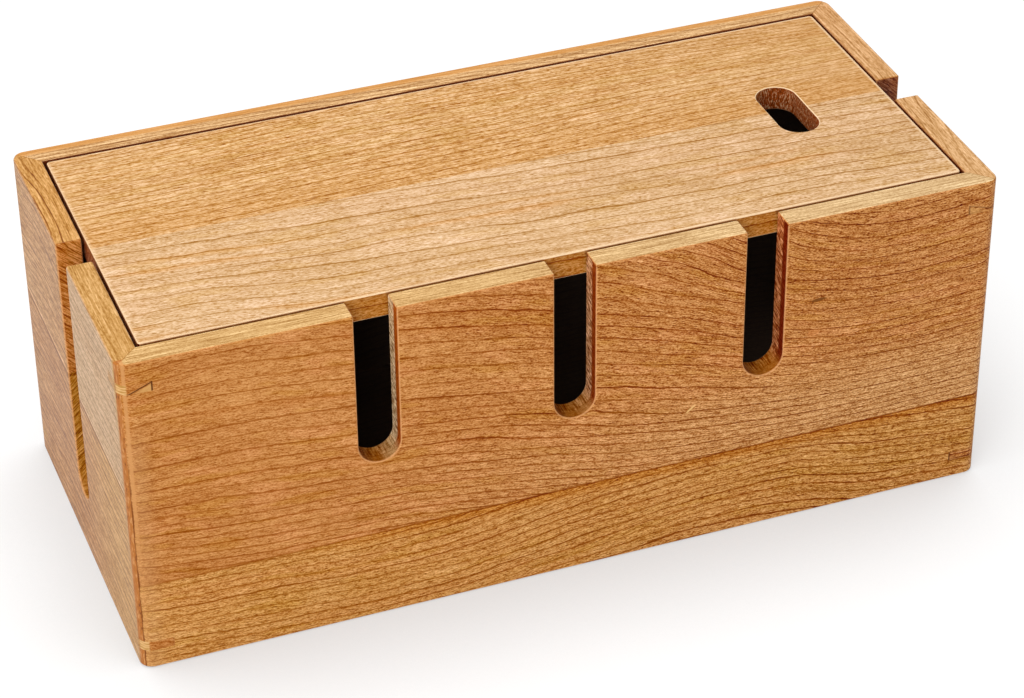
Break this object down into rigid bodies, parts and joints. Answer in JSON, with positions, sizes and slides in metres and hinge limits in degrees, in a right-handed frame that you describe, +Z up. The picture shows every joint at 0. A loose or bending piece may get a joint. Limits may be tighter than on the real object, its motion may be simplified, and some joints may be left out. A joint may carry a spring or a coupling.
{
  "type": "cable management box",
  "caption": "Solid wood cable management box with keyed mitred corners, a drop-in lid with a finger hole, and open-topped cord slots in its front and ends.",
  "frame": {"origin": "centre of the box's underside", "axes": "+X along the box, towards the end where the lid's finger hole is; +Y from the front, with its row of slots, to the back; +Z up"},
  "size_m": [0.34, 0.154, 0.134],
  "materials": {
    "cherry_front": "oiled cherry, reddish brown, satin",
    "cherry_ends": "oiled cherry, pinkish tan, satin",
    "cherry_lid_golden": "oiled cherry, golden, satin",
    "cherry_lid_pale": "oiled cherry sapwood, pale, satin",
    "key_wood": "pale straight-grained keys, satin",
    "panel_wood": "oiled cherry panel",
    "rest_wood": "oiled cherry block"
  },
  "bodies": {
    "box": {"front_lower_board": "cherry_front", "front_upper_board": "cherry_front", "back_lower_board": "cherry_front", "back_upper_board": "cherry_front", "left_lower_board": "cherry_ends", "left_upper_front_board": "cherry_ends", "left_upper_rear_board": "cherry_ends", "right_lower_board": "cherry_ends", "right_upper_front_board": "cherry_ends", "right_upper_rear_board": "cherry_ends", "bottom_panel": "panel_wood", "front_left_low_key": "key_wood", "front_left_high_key": "key_wood", "front_right_low_key": "key_wood", "front_right_high_key": "key_wood", "rear_left_low_key": "key_wood", "rear_left_high_key": "key_wood", "rear_right_low_key": "key_wood", "rear_right_high_key": "key_wood", "front_left_lid_rest": "rest_wood", "front_right_lid_rest": "rest_wood", "rear_left_lid_rest": "rest_wood", "rear_right_lid_rest": "rest_wood"},
    "lid": {"lid_front_board": "cherry_lid_pale", "lid_rear_board": "cherry_lid_golden"}
  },
  "joints": [
    {"name": "lid_lift", "type": "slide", "parent": "box", "child": "lid", "axis": [0, 0, 1], "range_m": [0, 0.12]}
  ]
}
